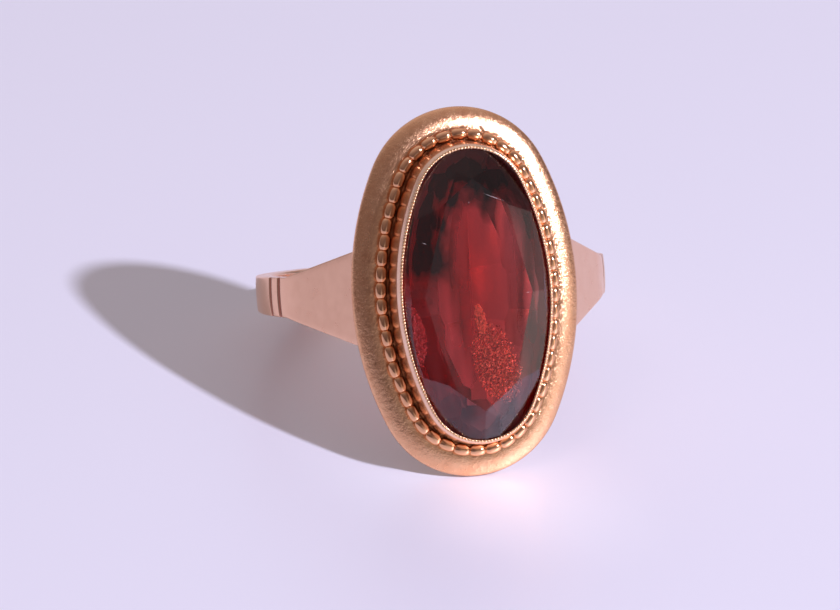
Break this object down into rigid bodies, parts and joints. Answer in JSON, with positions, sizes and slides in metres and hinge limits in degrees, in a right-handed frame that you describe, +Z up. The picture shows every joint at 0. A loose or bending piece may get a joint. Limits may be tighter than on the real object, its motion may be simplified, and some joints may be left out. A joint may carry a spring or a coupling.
{
  "type": "garnet ring",
  "caption": "Dress ring in reddish gold: a long oval faceted garnet in a milgrained collet, with a beaded border, a rolled oval rim and a hoop with flat tapered shoulders.",
  "frame": {"origin": "on the surface that the ring rests on, under the middle of its box", "axes": "+Z up from the surface, -Y the way the head faces, +X across the head"},
  "size_m": [0.0194, 0.0238, 0.018],
  "materials": {
    "gold": "polished reddish gold, satin on the rim",
    "garnet": "polished, clear dark red"
  },
  "bodies": {
    "root": {"ring_mount": "gold", "garnet": "garnet"}
  },
  "joints": []
}
